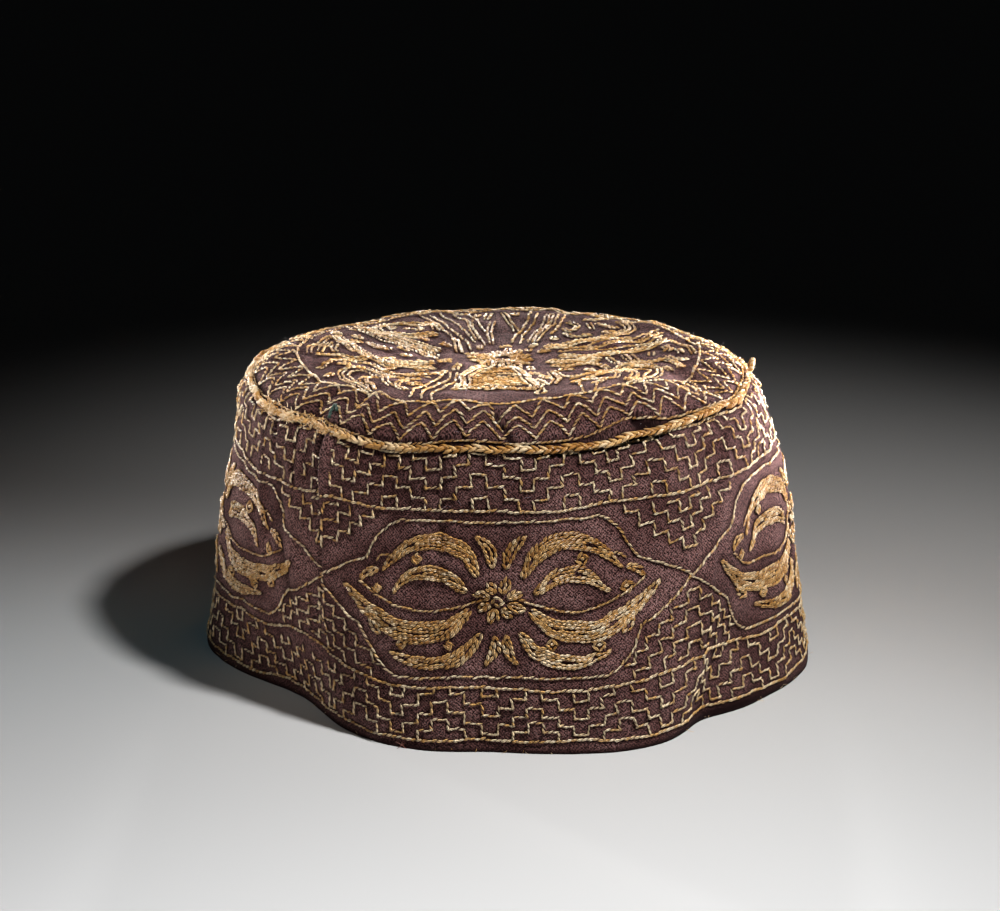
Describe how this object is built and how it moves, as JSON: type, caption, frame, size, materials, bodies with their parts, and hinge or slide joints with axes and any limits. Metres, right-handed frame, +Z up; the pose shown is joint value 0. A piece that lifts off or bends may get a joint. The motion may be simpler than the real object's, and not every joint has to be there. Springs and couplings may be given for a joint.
{
  "type": "dervish hat",
  "caption": "Low, round, soft cotton cap with a flared, folded side band, a flat domed crown, a plaited cord over the seam and chain-stitch embroidery all over.",
  "frame": {"origin": "the middle of the cap's box, on the surface that its rim rests on", "axes": "+Z up through the crown, -Y towards the front of the cap, +X to the right as seen from the front, along the cap's widest line"},
  "size_m": [0.19, 0.1688, 0.1004],
  "materials": {
    "cotton_cloth": "matt, plain-woven, purple-brown cotton, worn paler on its ridges",
    "gold_thread": "soft sheen, twisted gold, cream and ochre thread in chain stitch and plait"
  },
  "bodies": {
    "root": {"side_band": "cotton_cloth", "crown": "cotton_cloth", "seam_braid": "gold_thread", "corner_loop": "gold_thread"}
  },
  "joints": []
}
